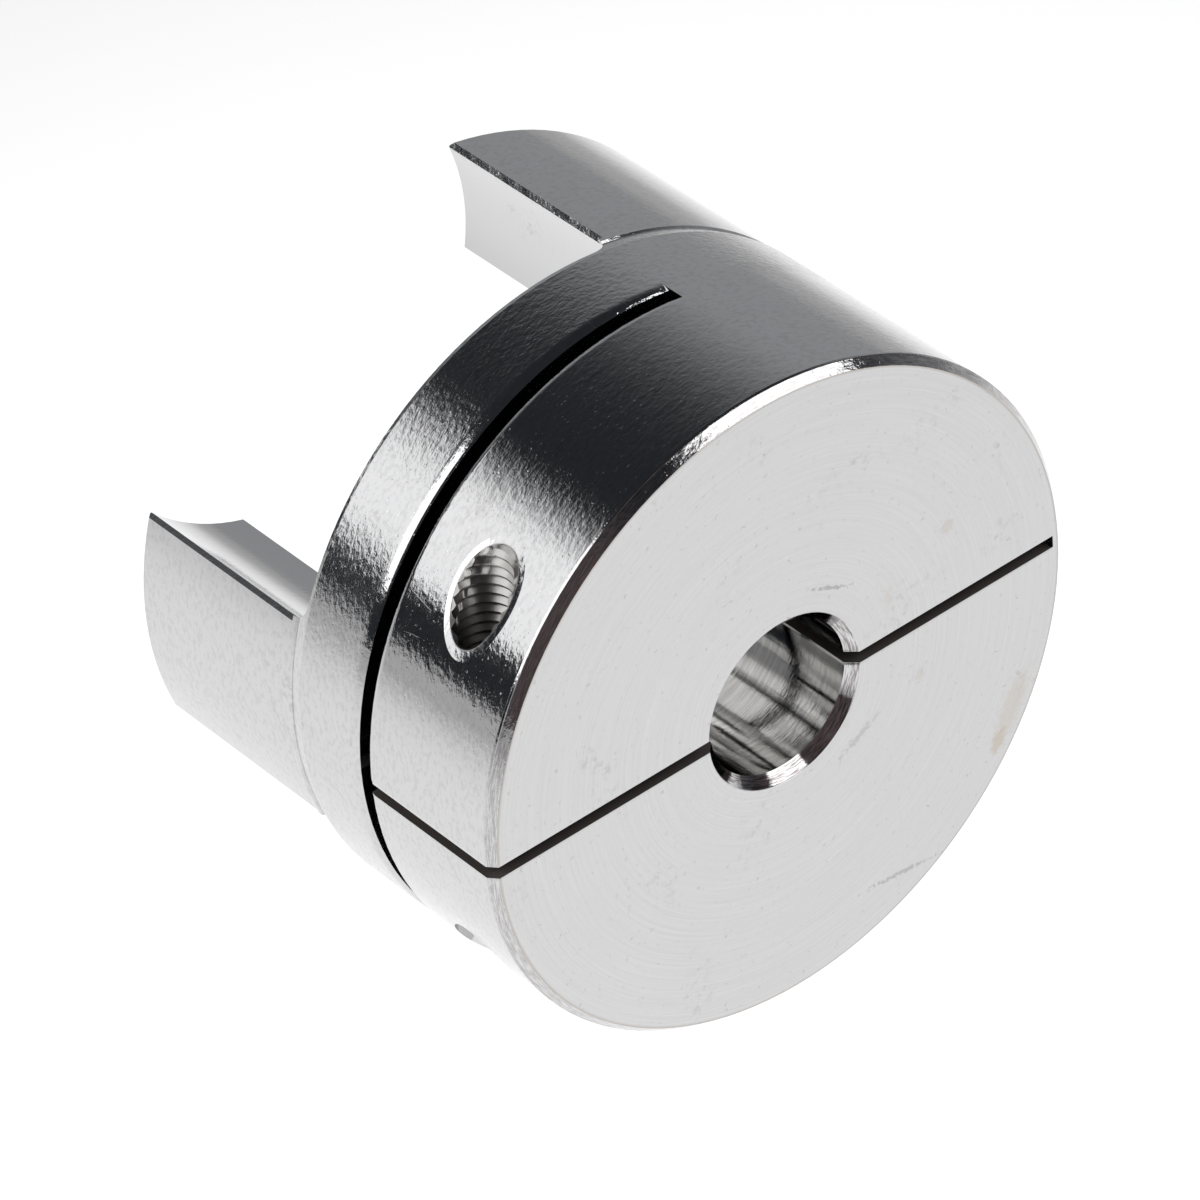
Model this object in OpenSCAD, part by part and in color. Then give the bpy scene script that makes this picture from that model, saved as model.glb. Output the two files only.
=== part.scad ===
// Clamping hub of a three-jaw coupling: one turned and milled aluminium hub and its clamp screw.
// The shaft axis is Y. The origin is the bore's centre on the shaft-side face, and the jaws point along +Y.
// The clamp screw stands along Z on the -X side, with its head at the bottom.

/* [Hub] */
// Outside diameter
hub_d = 64; // [63:0.5:66]
// From the shaft-side face to the floor between the jaws
body_len = 26; // [24:0.5:28]
// Overall length, to the jaw tips
hub_len = 48; // [42:0.5:54]
// Radial size of the chamfer on the front rim
rim_chamfer = 0.7; // [0.3:0.1:1.2]
// Axial size of the chamfer on the front rim
rim_chamfer_len = 0.85; // [0.3:0.05:1.2]
// Edge break on the rear rim and on the jaw tips
edge_break = 0.4; // [0.2:0.05:0.6]

/* [Bore] */
// Shaft bore
bore_d = 15; // [10:0.5:20]
// Chamfer at both ends of the bore
bore_chamfer = 0.95; // [0.3:0.05:1.5]

/* [Jaws] */
// Number of jaws
jaw_count = 3; // [3:1:3]
// Diameter over the jaws
jaw_d = 63.68; // [62:0.01:64]
// Radius of the round pockets that leave the jaws between them
pocket_r = 20.8; // [20:0.1:21.5]
// Distance from the shaft axis to the centre of each pocket
pocket_offset = 28.1; // [27.5:0.1:28.5]
// Radius of the space inside the jaws
relief_r = 20.8; // [19:0.1:22]
// Fillet between the jaws and the floor
root_fillet = 1.5; // [0.5:0.1:2.5]
// Depth of the chamfer on the jaws' long outer edges
jaw_edge_cut = 0.5; // [0.2:0.05:0.8]
// How far that chamfer leans towards the pocket's wall, in degrees
edge_lean = 7; // [0:1:15]
// Length of the slope from the body down into the groove at the jaws' root
groove_slope = 1.4; // [0.6:0.1:1.6]
// Length of the rise from the groove to the jaws
groove_rise = 0.2; // [0.2:0.1:0.8]
// Depth of the groove below the body's outside
groove_depth = 0.3; // [0.2:0.05:0.5]

/* [Clamp slots] */
// Width of the slot across the bore
clamp_slot_w = 1.2; // [0.8:0.1:2]
// Thickness of the web left at the slot's closed end
web_t = 1.3; // [1:0.1:3]
// Width of the ring slot that frees the clamping half
ring_slot_w = 1.5; // [1:0.1:2]
// From the shaft-side face to the near wall of the ring slot
ring_slot_y = 16.25; // [15.5:0.05:17]
// How far the ring slot reaches past the shaft axis
ring_slot_x = 5; // [0:0.5:8]
// Width of the burnished edge on the ring slot's near side
near_edge_w = 0.6; // [0.2:0.1:1]
// Width of the burnished edge on the ring slot's far side
far_edge_w = 1; // [0.4:0.1:1.2]

/* [Clamp screw] */
// Thread diameter
screw_d = 6; // [6]
// Thread length under the head
screw_len = 16; // [12:1:20]
// Head diameter
head_d = 10; // [10]
// Head height
head_h = 6; // [6]
// Width across the flats of the hexagon socket
hex_w = 5; // [5]
// Depth of the hexagon socket
hex_depth = 3; // [2:0.5:3.5]
// Distance of the screw from the shaft axis
screw_x = 24.1; // [23.5:0.1:24.3]
// Distance of the screw from the shaft-side face
screw_y = 8; // [7.5:0.1:8.5]
// Distance of the head's seat below the shaft axis
seat_z = 6; // [5:0.1:6.5]
// Counterbore diameter
counterbore_d = 11; // [11:0.1:11.5]
// Clearance hole in the lower half
clearance_d = 6.6; // [6.4:0.1:7]

/* [Hidden] */
$fn = 144;

hub_r = hub_d / 2;
jaw_r = jaw_d / 2;
bore_r = bore_d / 2;
past = 1;                                   // how far a cutter runs past the metal
tap_gap = 0.05;                             // radial clearance of the tapped hole over the screw
jaw_pitch = 360 / jaw_count;
first_pocket = 0;                           // angle of the first pocket, so one jaw points along -X
slot_end = hub_r - web_t;                   // closed end of the clamp slot
ring_slot_far = ring_slot_y + ring_slot_w;  // far wall of the ring slot
screw_tip_z = screw_len - seat_z;
tip_chamfer = 0.7;
head_edge = 0.6;
burnish_angle = 32;                         // how far a burnished edge turns down into its slot
arc_step = 7.5;                             // degrees per piece of a rounded edge

// half-angle at which a pocket's edge meets the jaws' outside, measured from the pocket's centre line
mouth_angle = acos((pocket_offset * pocket_offset + jaw_r * jaw_r - pocket_r * pocket_r)
                   / (2 * pocket_offset * jaw_r));
// direction of the pocket's wall at that corner, and the direction that its chamfer faces
wall_angle = atan2(jaw_r * sin(mouth_angle), jaw_r * cos(mouth_angle) - pocket_offset);
corner_normal = (mouth_angle + wall_angle - 180) / 2 - edge_lean;

// points on an arc about (cx, cy)
function arc(cx, cy, r, from, to) =
    let (n = ceil(abs(to - from) / arc_step))
    [for (i = [0:n]) let (a = from + (to - from) * i / n) [cx + r * cos(a), cy + r * sin(a)]];

// turns a shape made about Z onto the shaft axis: its +Z becomes +Y
module on_shaft_axis() {
    rotate([-90, 0, 0])
        children();
}

// a milling cutter with rounded corners, standing on the floor between the jaws
module pocket_cutter() {
    flat_r = pocket_r - root_fillet;
    wall_z = body_len + root_fillet;
    rotate_extrude() {
        polygon([[0, body_len],
                 [flat_r, body_len],
                 [flat_r, wall_z],
                 [pocket_r, wall_z],
                 [pocket_r, hub_len + past],
                 [0, hub_len + past]]);
        translate([flat_r, wall_z])
            circle(root_fillet);
    }
}

// the hub as it leaves the lathe, bored through
module turned_blank() {
    rear_edge = body_len - edge_break;
    rotate_extrude()
        polygon([[bore_r + bore_chamfer, 0],
                 [hub_r - rim_chamfer, 0],
                 [hub_r, rim_chamfer_len],
                 [hub_r, rear_edge],
                 [hub_r - groove_depth, rear_edge + groove_slope],
                 [jaw_r, rear_edge + groove_slope + groove_rise],
                 [jaw_r, hub_len - edge_break],
                 [jaw_r - edge_break, hub_len],
                 [bore_r, hub_len],
                 [bore_r, bore_chamfer]]);
}

// chamfers the two long outer edges that one pocket leaves
module jaw_edge_chamfers() {
    start = body_len + groove_slope + groove_rise;
    block = 6;
    for (side = [-1, 1])
        rotate([0, 0, side * mouth_angle])
            translate([jaw_r, 0, 0])
                rotate([0, 0, side * (corner_normal - mouth_angle)])
                    translate([-jaw_edge_cut, -block / 2, start])
                        cube([block, block, hub_len - start + past]);
}

// everything that is milled away to leave the jaws
module jaw_spaces() {
    translate([0, 0, body_len])
        cylinder(h = hub_len, r = relief_r);
    for (i = [0:jaw_count - 1])
        rotate([0, 0, first_pocket + i * jaw_pitch])
            translate([pocket_offset, 0, 0])
                pocket_cutter();
}

// the inner end of the bore, opened into the space between the jaws
module inner_bore_chamfer() {
    translate([0, 0, body_len - bore_chamfer])
        cylinder(h = bore_chamfer, r1 = bore_r, r2 = bore_r + bore_chamfer);
}

// the ring slot with its burnished edges, only as far as its chord
module ring_slot() {
    near_r = near_edge_w / sin(burnish_angle);
    far_r = far_edge_w / sin(burnish_angle);
    near = ring_slot_y - near_edge_w;
    far = ring_slot_far + far_edge_w;
    intersection() {
        rotate_extrude()
            polygon(concat([[0, ring_slot_y]],
                           arc(hub_r - near_r, near, near_r, burnish_angle, 0),
                           [[hub_r + past, near], [hub_r + past, far]],
                           arc(hub_r - far_r, far, far_r, 0, -burnish_angle),
                           [[0, ring_slot_far]]));
        translate([-hub_r - past, -hub_r - past, 0])
            cube([hub_r + past + ring_slot_x, hub_d + 2 * past, hub_len]);
    }
}

// the slot across the bore, from the -X side to the web
module clamp_slot() {
    translate([-hub_r - past, -past, -clamp_slot_w / 2])
        cube([hub_r + past + slot_end, ring_slot_far + past, clamp_slot_w]);
}

// the screw's holes: tapped above the slot, clear below it, and the counterbore for the head
module screw_holes() {
    translate([-screw_x, screw_y, 0]) {
        cylinder(h = hub_r, r = screw_d / 2 + tap_gap);
        translate([0, 0, -seat_z - past])
            cylinder(h = seat_z + past, d = clearance_d);
        translate([0, 0, -hub_r])
            cylinder(h = hub_r - seat_z, d = counterbore_d);
    }
}

module clamp_hub() {
    color("silver")
        difference() {
            on_shaft_axis()
                difference() {
                    turned_blank();
                    jaw_spaces();
                    for (i = [0:jaw_count - 1])
                        rotate([0, 0, first_pocket + i * jaw_pitch])
                            jaw_edge_chamfers();
                    inner_bore_chamfer();
                    ring_slot();
                }
            clamp_slot();
            screw_holes();
        }
}

module clamp_screw() {
    shank_r = screw_d / 2;
    head_r = head_d / 2;
    head_bottom = -seat_z - head_h;
    color("gainsboro")
        translate([-screw_x, screw_y, 0])
            difference() {
                rotate_extrude()
                    polygon([[0, head_bottom],
                             [head_r - head_edge, head_bottom],
                             [head_r, head_bottom + head_edge],
                             [head_r, -seat_z],
                             [shank_r, -seat_z],
                             [shank_r, screw_tip_z - tip_chamfer],
                             [shank_r - tip_chamfer, screw_tip_z],
                             [0, screw_tip_z]]);
                translate([0, 0, head_bottom - past])
                    cylinder(h = hex_depth + past, r = hex_w / sqrt(3), $fn = 6);
            }
}

clamp_hub();
clamp_screw();
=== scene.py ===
"""Clamping jaw coupling hub: looks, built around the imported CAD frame. Lengths are metres."""

import math
from types import SimpleNamespace

import bmesh
import bpy
from mathutils import Matrix, Vector


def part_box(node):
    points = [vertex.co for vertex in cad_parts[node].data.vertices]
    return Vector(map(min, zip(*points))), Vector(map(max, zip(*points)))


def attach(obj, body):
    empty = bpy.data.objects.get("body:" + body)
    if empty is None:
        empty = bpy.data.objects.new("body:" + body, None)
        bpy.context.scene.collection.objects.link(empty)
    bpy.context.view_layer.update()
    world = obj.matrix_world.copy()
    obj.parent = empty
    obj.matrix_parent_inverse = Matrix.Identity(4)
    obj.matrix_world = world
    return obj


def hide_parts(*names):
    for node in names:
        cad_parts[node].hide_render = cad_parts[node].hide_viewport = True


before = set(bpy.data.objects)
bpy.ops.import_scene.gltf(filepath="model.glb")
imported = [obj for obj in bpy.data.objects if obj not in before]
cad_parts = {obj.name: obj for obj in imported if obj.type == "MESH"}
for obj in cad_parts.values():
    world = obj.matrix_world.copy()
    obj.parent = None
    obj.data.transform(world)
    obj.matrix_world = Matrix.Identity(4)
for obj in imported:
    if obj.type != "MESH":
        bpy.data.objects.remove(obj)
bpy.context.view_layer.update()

MM = 0.001
HUB = "clamp_hub"
SCREW = "clamp_screw"
HUB_BODY = "hub"
SCREW_BODY = "screw"

# sizes taken from the frame
hub_low, hub_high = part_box(HUB)
screw_low, screw_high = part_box(SCREW)
hub_r = hub_high.x
head_r = (screw_high.x - screw_low.x) / 2
screw_x = (screw_low.x + screw_high.x) / 2
screw_y = (screw_low.y + screw_high.y) / 2
screw_axis = Vector((screw_x, screw_y, 0))

# M6 thread and socket head, as in the CAD model
PITCH = 1.0 * MM
THREAD_R = 3.0 * MM
TAPPED_R = 3.05 * MM
HEAD_H = 6.0 * MM
HEX_R = 2.5 * MM
HEX_DEPTH = 3.0 * MM
head_z = screw_low.z
seat_z = screw_low.z + HEAD_H
tip_z = screw_high.z

COLUMNS = 96                            # points around each ring of the screw and the tapped hole
WELD = 0.0005 * MM                      # points closer than this become one
SHARP = math.radians(28)                # edges that turn by more stay sharp

# zones of the hub, as in the CAD model
BORE_EDGE_R = 8.45 * MM                 # outer edge of the bore's chamfer
CHAMFER_LEN = 0.85 * MM                 # axial length of the front rim's chamfer
SLOT_HALF = 0.6 * MM                    # half the clamp slot's width
SLOT_FAR_Y = 17.75 * MM                 # far wall of the ring slot
BODY_END_Y = 26.0 * MM                  # floor between the jaws
WEB_T = 1.3 * MM                        # metal left at the clamp slot's closed end

# studio lights: name, azimuth and elevation in degrees, distance, width, height, radiance, and the share
# of the height over which the top edge fades
SOFTBOXES = [("softbox_back_left", 134, 31, 1.5, 1.1, 0.90, 1.28, 0.38),
             ("softbox_left", 172, 40, 1.5, 0.9, 1.25, 2.0, 0.1),
             ("softbox_front_right", -45, 43, 1.4, 1.2, 0.85, 2.2, 0.1)]
STUDIO_DARK = (0.024, 0.026, 0.030, 1)
STUDIO_BROWN = (0.105, 0.083, 0.086, 1)
STUDIO_WALL = (0.352, 0.357, 0.370, 1)
BACKDROP = (0.85, 0.85, 0.85, 1)

# colours of the metals, bare and marked, and painted shade for the thread, the slot and the chamfers
METAL_LIGHT = (0.616, 0.616, 0.621, 1)
METAL_DARK = (0.562, 0.562, 0.566, 1)
BORE_LIGHT = (0.72, 0.715, 0.705, 1)
BORE_DARK = (0.58, 0.575, 0.565, 1)
# painted shade: the tapped thread's grey stands in for the shade inside the hole
THREAD_SHADE_GREY = (0.36, 0.35, 0.34, 1)
# painted shade: the clamp slot's dark grey stands in for the shade in the narrow slot
SLOT_SHADE_GREY = (0.21, 0.19, 0.18, 1)
DIMPLE_GREY = (0.36, 0.36, 0.36, 1)
PIT_GREY = (0.26, 0.25, 0.24, 1)
RIM_BROWN = (0.40, 0.36, 0.32, 1)
# painted shade and reflection: the chamfers' dark brown stands in for their dark shading and the brown they
# reflect
CHAMFER_SHADE_BROWN = (0.16, 0.13, 0.13, 1)
ZINC_LIGHT = (0.50, 0.50, 0.49, 1)
ZINC_DARK = (0.42, 0.425, 0.43, 1)

# marks on the shaft-side face, which may be left out for a clean hub: centre x and z, half-length and
# half-width in millimetres, turn in degrees, strength, raggedness and colour
STAIN = (0.48, 0.41, 0.32, 1)
SMUDGE = (0.30, 0.29, 0.28, 1)
FACE_MARKS = [(23.3, -18.1, 1.3, 0.8, 60, 0.50, 2.0, STAIN),
              (25.0, -15.2, 3.6, 1.3, 61, 0.30, 2.0, STAIN),
              (18.9, 8.3, 0.8, 0.7, 0, 0.35, 3.0, STAIN),
              (14.8, -5.7, 0.7, 0.6, 0, 0.20, 3.0, STAIN),
              (12.0, 4.6, 1.0, 0.6, 90, 0.20, 3.0, STAIN),
              (11.5, -26.0, 3.4, 0.28, -6, 0.50, 5.0, SMUDGE),
              (7.6, -8.4, 2.6, 0.45, 29, 0.35, 5.0, SMUDGE),
              (5.5, 9.2, 2.2, 0.24, -25, 0.65, 5.0, SMUDGE)]


# ---------------------------------------------------------------- small helpers

class Graph:
    """Short calls for making and joining shader nodes."""

    def __init__(self, tree):
        self.tree = tree
        tree.nodes.clear()

    def node(self, kind, **props):
        made = self.tree.nodes.new(kind)
        for name, value in props.items():
            setattr(made, name, value)
        return made

    def put(self, socket, value):
        """Joins a socket to another, or sets its number or colour."""
        if isinstance(value, bpy.types.NodeSocket):
            self.tree.links.new(value, socket)
        else:
            socket.default_value = value

    def math(self, op, a, b=0.0, c=0.0, clamp=False):
        made = self.node("ShaderNodeMath", operation=op, use_clamp=clamp)
        for i, value in enumerate((a, b, c)):
            self.put(made.inputs[i], value)
        return made.outputs[0]

    def ramp(self, value, low, high, out_low=0.0, out_high=1.0, smooth=True):
        """Maps value from low..high to out_low..out_high, held at both ends."""
        made = self.node("ShaderNodeMapRange", interpolation_type="SMOOTHSTEP" if smooth else "LINEAR")
        for name, number in (("From Min", low), ("From Max", high),
                             ("To Min", out_low), ("To Max", out_high)):
            made.inputs[name].default_value = number
        self.put(made.inputs["Value"], value)
        return made.outputs["Result"]

    def noise(self, vector, scale, detail=2.0, rough=0.5):
        made = self.node("ShaderNodeTexNoise")
        self.put(made.inputs["Vector"], vector)
        for name, number in (("Scale", scale), ("Detail", detail), ("Roughness", rough)):
            made.inputs[name].default_value = number
        return made.outputs["Fac"]

    def stretch(self, vector, scale):
        made = self.node("ShaderNodeMapping")
        self.put(made.inputs["Vector"], vector)
        made.inputs["Scale"].default_value = scale
        return made.outputs["Vector"]

    def combine(self, x, y, z):
        made = self.node("ShaderNodeCombineXYZ")
        for i, value in enumerate((x, y, z)):
            self.put(made.inputs[i], value)
        return made.outputs[0]

    def split(self, vector):
        made = self.node("ShaderNodeSeparateXYZ")
        self.put(made.inputs[0], vector)
        return made.outputs

    def distance(self, x, y, at_x, at_y, start=0.0):
        """Distance from a point in a plane, less start."""
        dx = self.math("SUBTRACT", x, at_x)
        dy = self.math("SUBTRACT", y, at_y)
        squares = self.math("MULTIPLY_ADD", dx, dx, self.math("MULTIPLY", dy, dy))
        return self.math("SUBTRACT", self.math("SQRT", squares), start)

    def total(self, *values):
        """The sum of several values."""
        result = values[0]
        for value in values[1:]:
            result = self.math("ADD", result, value)
        return result

    def mix_colour(self, factor, a, b):
        made = self.node("ShaderNodeMix", data_type="RGBA")
        self.put(made.inputs["Factor"], factor)
        self.put(made.inputs["A"], a)
        self.put(made.inputs["B"], b)
        return made.outputs["Result"]


def new_material(name):
    material = bpy.data.materials.new(name)
    material.use_nodes = True
    return material, Graph(material.node_tree)


def finish_metal(g, base, roughness, height):
    """Ends a material as a bare metal: base colour, roughness and bump height in metres."""
    shader = g.node("ShaderNodeBsdfPrincipled")
    shader.inputs["Metallic"].default_value = 1.0
    g.put(shader.inputs["Base Color"], base)
    g.put(shader.inputs["Roughness"], roughness)
    bump = g.node("ShaderNodeBump")
    bump.inputs["Strength"].default_value = 1.0
    bump.inputs["Distance"].default_value = 1.0
    g.put(bump.inputs["Height"], height)
    g.put(shader.inputs["Normal"], bump.outputs["Normal"])
    out = g.node("ShaderNodeOutputMaterial")
    g.put(out.inputs["Surface"], shader.outputs["BSDF"])


def ring_mesh(name, axis, rows, closed, material, body):
    """A closed piece around a vertical axis. Each row gives the radius and height at an angle."""
    shape = bmesh.new()
    grid = []
    for row in rows:
        line = []
        for i in range(COLUMNS + 1):
            angle = math.tau * i / COLUMNS
            radius, height = row(angle)
            outward = Vector((radius * math.cos(angle), radius * math.sin(angle), height))
            line.append(shape.verts.new(axis + outward))
        grid.append(line)
    pairs = list(zip(grid, grid[1:]))
    if closed:
        pairs.append((grid[-1], grid[0]))
    for low, high in pairs:
        for i in range(COLUMNS):
            shape.faces.new((low[i], low[i + 1], high[i + 1], high[i]))
    bmesh.ops.remove_doubles(shape, verts=shape.verts, dist=WELD)
    bmesh.ops.dissolve_degenerate(shape, edges=shape.edges, dist=WELD)
    bmesh.ops.recalc_face_normals(shape, faces=shape.faces)
    data = bpy.data.meshes.new(name)
    shape.to_mesh(data)
    shape.free()
    data.polygons.foreach_set("use_smooth", [True] * len(data.polygons))
    data.set_sharp_from_angle(angle=SHARP)
    piece = bpy.data.objects.new(name, data)
    bpy.context.scene.collection.objects.link(piece)
    data.materials.append(material)
    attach(piece, body)
    return piece


def ring(radius, height):
    """A row of one radius at one height."""
    return lambda angle: (radius, height)


# ---------------------------------------------------------------- threads

def ridge(phase, crest, root):
    """Share of a thread's depth at a phase of 0 to 1 along the pitch, with flats at the crest and root."""
    away = abs(phase % 1.0 - 0.5) * 2
    return min(1.0, max(0.0, (1.0 - root - away) / (1.0 - root - crest)))


def thread_row(turns, start, end, wall):
    """One helical row of a thread. wall(angle, height, phase) gives the radius, and end(angle) its top."""
    def row(angle):
        height = start + PITCH * (turns + angle / math.tau)
        height = min(max(height, start), end(angle))
        phase = (height - start) / PITCH - angle / math.tau
        return wall(angle, height, phase), height
    return row


def thread_rows(start, end, longest, corners, wall):
    """Rows whose edges follow the thread's corners, from start to end."""
    rows = []
    for turn in range(-1, math.ceil(longest / PITCH) + 1):
        for corner in corners:
            rows.append(thread_row(turn + corner, start, end, wall))
    return rows


def make_tapped_thread(material):
    """The internal thread's ridges, above the screw's tip, cut off by the outside of the hub."""
    start = tip_z + 0.3 * MM
    sunk = 0.01 * MM                    # keeps the ridges just inside the hub's metal
    depth = 0.42 * MM
    crest, root = 0.14, 0.02

    def surface(angle, radius):
        x = screw_x + radius * math.cos(angle)
        return math.sqrt(hub_r * hub_r - x * x) - sunk

    def wall(angle, height, phase):
        return TAPPED_R - sunk - depth * ridge(phase, crest, root)

    def end(angle):
        return min(surface(angle, TAPPED_R), surface(angle, TAPPED_R - depth))

    corners = [0.01, 0.22, 0.43, 0.5, 0.57, 0.78, 0.99]
    inside = thread_rows(start, end, surface(0, TAPPED_R) - start, corners, wall)
    hidden = TAPPED_R + 2 * sunk
    outside = [lambda angle: (hidden, surface(angle, hidden)), ring(hidden, start)]
    return ring_mesh("tapped_thread", screw_axis, inside + outside, True, material, HUB_BODY)


# ---------------------------------------------------------------- clamp screw

def make_clamp_screw(material):
    """Socket-head screw with a knurled head, a hexagon socket and a helical thread."""
    major = THREAD_R - 0.02 * MM
    depth = 0.61 * MM
    crest, root = 0.125, 0.25
    neck = 0.5 * MM

    def hexagon(across, height):
        def row(angle):
            turned = (angle + math.pi / 6) % (math.pi / 3) - math.pi / 6
            return across / math.cos(turned), height
        return row

    def knurled(height):
        def row(angle):
            groove = round(angle / math.tau * COLUMNS) % 2
            return head_r - 0.11 * MM * groove, height
        return row

    # an outside thread is cut inwards, so its groove is a ridge with crest and root swapped
    def wall(angle, height, phase):
        cone = major - depth * 1.1 + (tip_z - height)
        return min(major - depth * ridge(phase, root, crest), cone)

    head = [ring(0, head_z + HEX_DEPTH + 0.9 * MM),
            hexagon(HEX_R * 0.96, head_z + HEX_DEPTH),
            hexagon(HEX_R, head_z + HEX_DEPTH - 0.1 * MM),
            hexagon(HEX_R, head_z + 0.25 * MM),
            ring(HEX_R * 1.21, head_z),
            ring(head_r - 0.75 * MM, head_z),
            ring(head_r - 0.62 * MM, head_z + 0.04 * MM),
            ring(head_r - 0.2 * MM, head_z + 0.5 * MM),
            knurled(head_z + 0.75 * MM),
            knurled(seat_z - 0.3 * MM),
            ring(head_r - 0.15 * MM, seat_z - 0.2 * MM),
            ring(head_r - 0.3 * MM, seat_z),
            ring(major + 0.25 * MM, seat_z),
            ring(major - 0.05 * MM, seat_z + 0.25 * MM)]
    start = seat_z + neck
    corners = [0.0625, 0.21875, 0.375, 0.625, 0.78125, 0.9375]
    thread = thread_rows(start, lambda angle: tip_z, tip_z - start, corners, wall)
    screw = ring_mesh("socket_head_screw", screw_axis, head + thread + [ring(0, tip_z)], False,
                      material, SCREW_BODY)
    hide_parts(SCREW)
    return screw


# ---------------------------------------------------------------- camera

def make_camera():
    """A long lens in front of the hub, on its left and above it."""
    azimuth = math.radians(-36.555)
    elevation = math.radians(38.435)
    roll = math.radians(-5.468)
    focal_length = 222.97
    distance = 19.603 * hub_r
    aside = -0.48824 * hub_r
    above = 0.26868 * hub_r
    back = Vector((math.sin(azimuth) * math.cos(elevation),
                   -math.cos(azimuth) * math.cos(elevation),
                   math.sin(elevation)))
    level_right = Vector((math.cos(azimuth), math.sin(azimuth), 0))
    level_up = back.cross(level_right)
    right = math.cos(roll) * level_right + math.sin(roll) * level_up
    up = -math.sin(roll) * level_right + math.cos(roll) * level_up
    data = bpy.data.cameras.new("camera")
    data.sensor_width = 36
    data.lens = focal_length
    data.clip_start = 0.01
    data.clip_end = 20
    camera = bpy.data.objects.new("camera", data)
    turn = Matrix((right, up, back)).transposed().to_4x4()
    camera.matrix_world = Matrix.Translation(distance * back + aside * right + above * up) @ turn
    bpy.context.scene.collection.objects.link(camera)
    bpy.context.scene.camera = camera


# ---------------------------------------------------------------- floor and light

def make_floor():
    """A plain pale table top that glows by itself in a painted round pool of light, which fades with distance
    from the hub.
    """
    half = 2.5
    pool_r, dim_r = 0.05, 0.38
    bright, dim = 0.97, 0.35
    grey = 0.35
    z = hub_low.z
    points = [(-half, -half, z), (half, -half, z), (half, half, z), (-half, half, z)]
    data = bpy.data.meshes.new("floor")
    data.from_pydata(points, [], [(0, 1, 2, 3)])
    floor = bpy.data.objects.new("floor", data)
    bpy.context.scene.collection.objects.link(floor)
    material, g = new_material("pale_floor")
    x, y, _ = g.split(g.node("ShaderNodeTexCoord").outputs["Object"])
    # painted light: the floor's own glow, bright near the hub and dimmer further out, stands in for a pool of
    # light
    painted_light_pool = g.ramp(g.distance(x, y, 0.0, 0.0), pool_r, dim_r, bright, dim)
    shader = g.node("ShaderNodeBsdfPrincipled")
    shader.inputs["Base Color"].default_value = (grey, grey, grey, 1)
    shader.inputs["Roughness"].default_value = 0.9
    shader.inputs["Specular IOR Level"].default_value = 0.0
    shader.inputs["Emission Color"].default_value = (1, 1, 1, 1)
    g.put(shader.inputs["Emission Strength"], painted_light_pool)
    out = g.node("ShaderNodeOutputMaterial")
    g.put(out.inputs["Surface"], shader.outputs["BSDF"])
    data.materials.append(material)


def make_softbox(name, azimuth_deg, elevation_deg, distance, width, height, radiance, fade):
    """A soft rectangular light aimed at the hub. Its top edge fades over the given share of its height."""
    azimuth = math.radians(azimuth_deg)
    elevation = math.radians(elevation_deg)
    towards = Vector((math.cos(azimuth) * math.cos(elevation),
                      math.sin(azimuth) * math.cos(elevation),
                      math.sin(elevation)))
    data = bpy.data.lights.new(name, "AREA")
    data.shape = "RECTANGLE"
    data.size = width
    data.size_y = height
    data.energy = radiance * math.pi * width * height
    data.use_nodes = True
    g = Graph(data.node_tree)
    place = g.node("ShaderNodeNewGeometry").outputs["Parametric"]
    up_share = g.split(place)[1]
    glow = g.node("ShaderNodeEmission")
    g.put(glow.inputs["Strength"], g.ramp(up_share, 1.0 - fade, 1.0, 1.0, 0.0))
    out = g.node("ShaderNodeOutputLight")
    g.put(out.inputs["Surface"], glow.outputs["Emission"])
    light = bpy.data.objects.new(name, data)
    light.location = towards * distance
    light.rotation_euler = towards.to_track_quat("Z", "Y").to_euler()
    bpy.context.scene.collection.objects.link(light)


def make_world():
    """A dark studio, brown low in front and blue-black behind, with a grey wall behind on the right.

    The hub reflects that studio, and the camera itself sees a pale backdrop above the floor."""
    world = bpy.data.worlds.new("studio")
    bpy.context.scene.world = world
    world.use_nodes = True
    g = Graph(world.node_tree)
    direction = g.node("ShaderNodeTexCoord").outputs["Generated"]
    x, y, z = g.split(direction)
    right_back = g.ramp(g.math("ADD", x, y), 0.5, 1.2)
    below_wall_top = g.ramp(z, 0.34, 0.84, 1.0, 0.0)
    front = g.ramp(y, -0.6, -0.2, 1.0, 0.0)
    below_brown_top = g.ramp(z, 0.60, 0.80, 1.0, 0.0)
    wall = g.math("MULTIPLY", right_back, below_wall_top)
    brown = g.math("MULTIPLY", front, below_brown_top)
    dark = g.mix_colour(brown, STUDIO_DARK, STUDIO_BROWN)
    colour = g.mix_colour(wall, dark, STUDIO_WALL)
    reflected = g.node("ShaderNodeBackground")
    g.put(reflected.inputs["Color"], colour)
    backdrop = g.node("ShaderNodeBackground")
    backdrop.inputs["Color"].default_value = BACKDROP
    seen = g.node("ShaderNodeMixShader")
    g.put(seen.inputs[0], g.node("ShaderNodeLightPath").outputs["Is Camera Ray"])
    g.put(seen.inputs[1], reflected.outputs["Background"])
    g.put(seen.inputs[2], backdrop.outputs["Background"])
    out = g.node("ShaderNodeOutputWorld")
    g.put(out.inputs["Surface"], seen.outputs["Shader"])


# ---------------------------------------------------------------- materials

def hole_lip(g, x, y, radius):
    """Height lost where the edge of a cross hole has been rolled over by tumbling."""
    width = 0.55 * MM
    depth = 0.13 * MM
    near = g.ramp(g.distance(x, y, screw_x, screw_y, radius), -0.05 * MM, width, 1.0, 0.0, smooth=False)
    return g.math("MULTIPLY", near, -depth)


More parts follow.
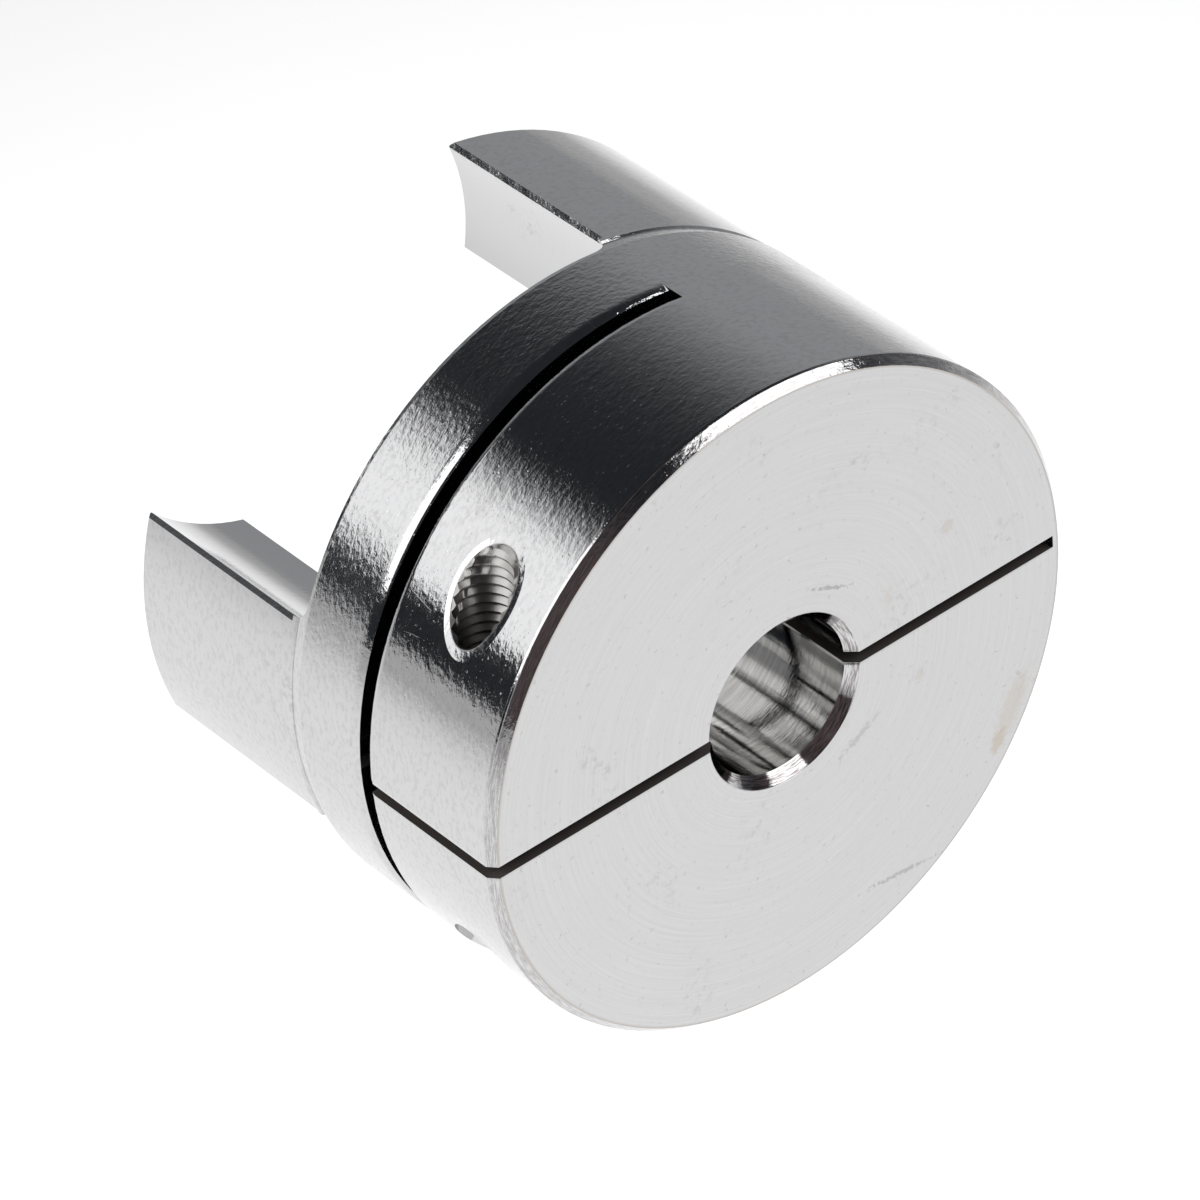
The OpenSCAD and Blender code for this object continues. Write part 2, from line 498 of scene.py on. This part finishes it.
def face_mark(g, x, z, uneven, at_x, at_z, half_length, half_width, turn_deg):
    """An oval on the face, 1 inside and 0 outside. uneven moves its edge in and out."""
    cosine = math.cos(math.radians(turn_deg))
    sine = math.sin(math.radians(turn_deg))
    dx = g.math("SUBTRACT", x, at_x * MM)
    dz = g.math("SUBTRACT", z, at_z * MM)
    along = g.math("MULTIPLY_ADD", dx, cosine, g.math("MULTIPLY", dz, sine))
    across = g.math("MULTIPLY_ADD", dx, -sine, g.math("MULTIPLY", dz, cosine))
    out_along = g.math("DIVIDE", along, half_length * MM)
    out_across = g.math("DIVIDE", across, half_width * MM)
    reach = g.math("ADD", g.distance(out_along, out_across, 0.0, 0.0), uneven)
    return g.ramp(reach, 0.6, 1.4, 1.0, 0.0)


def scratches(g, place, turn, scale, width):
    """Thin broken lines: 1 on a scratch, 0 elsewhere."""
    turned = g.node("ShaderNodeMapping")
    g.put(turned.inputs["Vector"], place)
    turned.inputs["Rotation"].default_value = turn
    turned.inputs["Scale"].default_value = (1.0, 0.12, 1.0)
    swirl = g.noise(turned.outputs["Vector"], scale, 1.0)
    line = g.ramp(g.math("ABSOLUTE", g.math("SUBTRACT", swirl, 0.5)), 0.0, width, 1.0, 0.0)
    patch = g.ramp(g.noise(place, scale * 0.7, 1.0), 0.58, 0.66)
    return g.math("MULTIPLY", line, patch)


def hub_zones(g):
    """The hub's coordinates, and its zones as masks: 1 inside a zone, 0 outside it."""
    coordinates = g.node("ShaderNodeTexCoord").outputs
    place = coordinates["Object"]
    x, y, z = g.split(place)
    facing_y = g.math("ABSOLUTE", g.split(coordinates["Normal"])[1])
    radius = g.distance(x, z, 0.0, 0.0)
    zone = SimpleNamespace(place=place, x=x, y=y, z=z, radius=radius)
    zone.around = g.stretch(place, (1.0, 1.6, 1.0))
    zone.face = g.ramp(y, 0.02 * MM, 0.06 * MM, 1.0, 0.0)
    zone.bore = g.ramp(radius, BORE_EDGE_R - 0.05 * MM, BORE_EDGE_R + 0.05 * MM, 1.0, 0.0)
    zone.outside = g.math("MULTIPLY", g.ramp(radius, hub_r - 1.5 * MM, hub_r - 1.0 * MM),
                          g.ramp(facing_y, 0.80, 0.95, 1.0, 0.0))
    from_screw = g.distance(x, y, screw_x, screw_y)
    zone.thread = g.math("MULTIPLY", g.ramp(z, 2.0 * MM, 3.0 * MM),
                         g.ramp(from_screw, TAPPED_R, TAPPED_R + 0.1 * MM, 1.0, 0.0))
    zone.slotted = g.math("MULTIPLY", g.ramp(y, SLOT_FAR_Y - 1.75 * MM, SLOT_FAR_Y + 0.25 * MM, 1.0, 0.0),
                          g.ramp(x, hub_r - WEB_T - 0.4 * MM, hub_r - WEB_T, 1.0, 0.0))
    zone.slot = g.math("MULTIPLY", zone.slotted, g.ramp(g.math("ABSOLUTE", z), SLOT_HALF + 0.001 * MM,
                                                        SLOT_HALF + 0.005 * MM, 1.0, 0.0))
    zone.behind_slot = g.math("MULTIPLY", g.ramp(y, SLOT_FAR_Y + 0.25 * MM, SLOT_FAR_Y + 1.25 * MM),
                              g.ramp(y, BODY_END_Y, BODY_END_Y + 1.0 * MM, 1.0, 0.0))
    front = g.math("MULTIPLY", g.math("MAXIMUM", zone.outside, zone.bore),
                   g.ramp(y, CHAMFER_LEN - 0.05 * MM, CHAMFER_LEN + 0.10 * MM, 1.0, 0.0))
    zone.chamfer = g.math("MULTIPLY", front, g.math("SUBTRACT", 1.0, zone.face))
    return zone


def tumbling(g, zone, peel):
    """The outside's height: slow waves, small dimples, pits and scratches, drawn out around the hub."""
    waves = g.math("MULTIPLY", g.noise(zone.around, 380.0, 2.0), 0.016 * MM)
    on_body = g.math("ADD", g.ramp(zone.y, BODY_END_Y + 0.5 * MM, BODY_END_Y + 2.0 * MM, 1.0, 0.35),
                     zone.behind_slot)
    dimples = g.math("MULTIPLY", peel, g.math("MULTIPLY", on_body, 0.022 * MM))
    pits = g.math("MULTIPLY", g.ramp(g.noise(zone.around, 2600.0, 1.0), 0.66, 0.84), -0.010 * MM)
    lines = g.math("MULTIPLY", scratches(g, zone.place, (0.3, 0.5, 0.9), 260.0, 0.004), -0.003 * MM)
    return g.math("MULTIPLY", zone.outside, g.total(waves, dimples, pits, lines))


def turning(g, zone, rings):
    """The shaft-side face's height: fine rings and a few pits."""
    pits = g.ramp(g.noise(zone.place, 1900.0, 2.0), 0.68, 0.78)
    return g.math("MULTIPLY", zone.face, g.math("MULTIPLY_ADD", rings, 0.0022 * MM,
                                                g.math("MULTIPLY", pits, -0.015 * MM)))


def milling(g, zone, marks):
    """The height of the bore and of the milled walls: fine marks across the tool's path, and slow ripples."""
    ripple = g.noise(g.stretch(zone.place, (1.0, 0.10, 1.0)), 700.0, 3.0, 0.6)
    ragged = g.noise(g.stretch(zone.place, (1.0, 2.5, 1.0)), 900.0, 3.0, 0.6)
    milled = g.total(g.math("MULTIPLY", marks, 0.0050 * MM), g.math("MULTIPLY", ripple, 0.008 * MM),
                     g.math("MULTIPLY", ragged, 0.006 * MM))
    return g.math("MULTIPLY", milled, g.math("SUBTRACT", 1.0, g.math("MAXIMUM", zone.outside, zone.face)))


def rolled_edges(g, zone):
    """Heights lost where tumbling rolled edges over: at the cross holes, the clamp slot and the front rim."""
    above = g.math("MULTIPLY", hole_lip(g, zone.x, zone.y, TAPPED_R), g.ramp(zone.z, 0.0, 1.0 * MM))
    below = g.math("MULTIPLY", hole_lip(g, zone.x, zone.y, head_r + 0.5 * MM),
                   g.ramp(zone.z, -1.0 * MM, 0.0, 1.0, 0.0))
    lips = g.math("MULTIPLY", zone.outside, g.total(above, below))
    slot_edge = g.ramp(g.math("ABSOLUTE", zone.z), SLOT_HALF - 0.05 * MM, SLOT_HALF + 0.30 * MM,
                       -0.06 * MM, 0.0)
    slot_lip = g.math("MULTIPLY", slot_edge, zone.slotted)
    corner = g.ramp(zone.y, CHAMFER_LEN - 0.05 * MM, CHAMFER_LEN + 0.25 * MM, -0.12 * MM, 0.0, smooth=False)
    rim_lip = g.math("MULTIPLY", corner, zone.outside)
    return lips, slot_lip, rim_lip


def bare_and_smeared(g, zone, rings):
    """The bare metal's colour, with the turned rings' fine contrast, and with faint grey smears all over."""
    grain = g.noise(zone.place, 3200.0, 3.0, 0.7)
    texture = g.math("MULTIPLY_ADD", rings, 0.75, g.math("MULTIPLY", grain, 0.25))
    shade = g.math("MULTIPLY", g.ramp(texture, 0.30, 0.70, smooth=False), zone.face)
    tone = g.mix_colour(shade, METAL_LIGHT, METAL_DARK)
    smear = g.math("MULTIPLY", g.ramp(g.noise(zone.place, 130.0, 2.0), 0.55, 0.72),
                   g.ramp(g.noise(zone.around, 900.0, 3.0, 0.7), 0.48, 0.72))
    return g.mix_colour(g.math("MULTIPLY", smear, 0.40), tone, SMUDGE)


def marked_face(g, zone, colour):
    """Adds the shaft-side face's marks to a colour: grey pits, a line along its rim and the placed marks."""
    dirt = g.math("MULTIPLY", zone.face, g.ramp(g.noise(zone.place, 1500.0, 3.0, 0.7), 0.60, 0.72))
    pitted = g.mix_colour(g.math("MULTIPLY", dirt, 0.35), colour, PIT_GREY)
    rim_line = g.math("MULTIPLY", g.ramp(zone.radius, hub_r - 1.0 * MM, hub_r - 0.7 * MM), zone.face)
    marked = g.mix_colour(g.math("MULTIPLY", rim_line, 0.65), pitted, RIM_BROWN)
    uneven = g.math("SUBTRACT", g.noise(zone.place, 1900.0, 3.0, 0.8), 0.46)
    for *shape, strength, raggedness, tint in FACE_MARKS:
        edge = g.math("MULTIPLY", uneven, raggedness)
        patch = g.math("MULTIPLY", face_mark(g, zone.x, zone.z, edge, *shape),
                       g.math("MULTIPLY", zone.face, strength))
        marked = g.mix_colour(patch, marked, tint)
    return marked


def worked_metal(g, zone, peel, marks, colour):
    """Adds to a colour what each zone's making left, grey dimples and the brushed bore, and painted shade:
    dark brown streaked along the chamfers, and grey in the tapped thread and the clamp slot.
    """
    strokes = g.math("MULTIPLY", zone.outside, g.ramp(peel, 0.34, 0.54, 0.24, 0.0))
    dimpled = g.mix_colour(strokes, colour, DIMPLE_GREY)
    streaks = g.ramp(g.noise(g.stretch(zone.place, (0.4, 7.0, 0.4)), 1800.0, 3.0, 0.6), 0.40, 0.62)
    # painted shade and brown reflection on both chamfers, stronger on the bore's, broken into streaks along
    # them
    chamfer_shade = g.math("MULTIPLY", zone.chamfer, g.math("MULTIPLY_ADD", zone.bore, 0.43, 0.42))
    chamfer_shaded = g.mix_colour(g.math("MULTIPLY", chamfer_shade, streaks), dimpled, CHAMFER_SHADE_BROWN)
    deep_bore = g.math("MULTIPLY", zone.bore,
                       g.ramp(zone.y, CHAMFER_LEN + 0.05 * MM, CHAMFER_LEN + 0.25 * MM))
    brushed = g.mix_colour(g.ramp(marks, 0.38, 0.62), BORE_LIGHT, BORE_DARK)
    bored = g.mix_colour(deep_bore, chamfer_shaded, brushed)
    # painted shade: the tapped thread is greyed to stand in for the shade in the hole
    thread_shaded = g.mix_colour(zone.thread, bored, THREAD_SHADE_GREY)
    # painted shade: the clamp slot's walls are darkened to stand in for the shade in the slot
    return g.mix_colour(zone.slot, thread_shaded, SLOT_SHADE_GREY)


def aluminium_material():
    """Turned and milled aluminium, tumbled bright: dimples and pits outside, turning marks on the face."""
    material, g = new_material("tumbled_aluminium")
    zone = hub_zones(g)
    peel = g.noise(zone.around, 1500.0, 3.0, 0.55)
    ring_place = g.combine(g.math("MULTIPLY", zone.radius, 6500.0), g.math("MULTIPLY", zone.x, 90.0),
                           g.math("MULTIPLY", zone.z, 90.0))
    rings = g.noise(ring_place, 1.0, 3.0, 0.6)
    marks = g.noise(g.stretch(zone.place, (0.06, 1.0, 0.06)), 3600.0, 4.0, 0.7)
    height = g.total(tumbling(g, zone, peel), turning(g, zone, rings), milling(g, zone, marks),
                     *rolled_edges(g, zone))
    bare = bare_and_smeared(g, zone, rings)
    base = worked_metal(g, zone, peel, marks, marked_face(g, zone, bare))
    sheen = g.noise(zone.around, 700.0, 3.0)
    roughness = g.total(g.math("MULTIPLY_ADD", sheen, 0.08, 0.05), g.math("MULTIPLY", zone.face, 0.14),
                        g.math("MULTIPLY", zone.behind_slot, 0.05), g.math("MULTIPLY", zone.bore, -0.02),
                        g.math("MULTIPLY", zone.thread, 0.20), g.math("MULTIPLY", zone.slot, 0.70))
    finish_metal(g, base, roughness, height)
    return material


def steel_material():
    """Bright zinc-plated steel with a slight grain."""
    material, g = new_material("zinc_plated_steel")
    place = g.node("ShaderNodeTexCoord").outputs["Object"]
    fine = g.noise(place, 2500.0, 3.0)
    blotch = g.ramp(g.noise(place, 500.0, 2.0), 0.40, 0.65)
    base = g.mix_colour(blotch, ZINC_LIGHT, ZINC_DARK)
    roughness = g.math("MULTIPLY_ADD", fine, 0.14, 0.20)
    finish_metal(g, base, roughness, g.math("MULTIPLY", fine, 0.004 * MM))
    return material


# ---------------------------------------------------------------- build

make_camera()
make_floor()
for softbox in SOFTBOXES:
    make_softbox(*softbox)
make_world()
bpy.context.scene.view_settings.view_transform = "Standard"

aluminium = aluminium_material()
steel = steel_material()
for node_name, material in ((HUB, aluminium), (SCREW, steel)):
    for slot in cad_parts[node_name].material_slots:
        slot.material = material
make_tapped_thread(aluminium)
make_clamp_screw(steel)
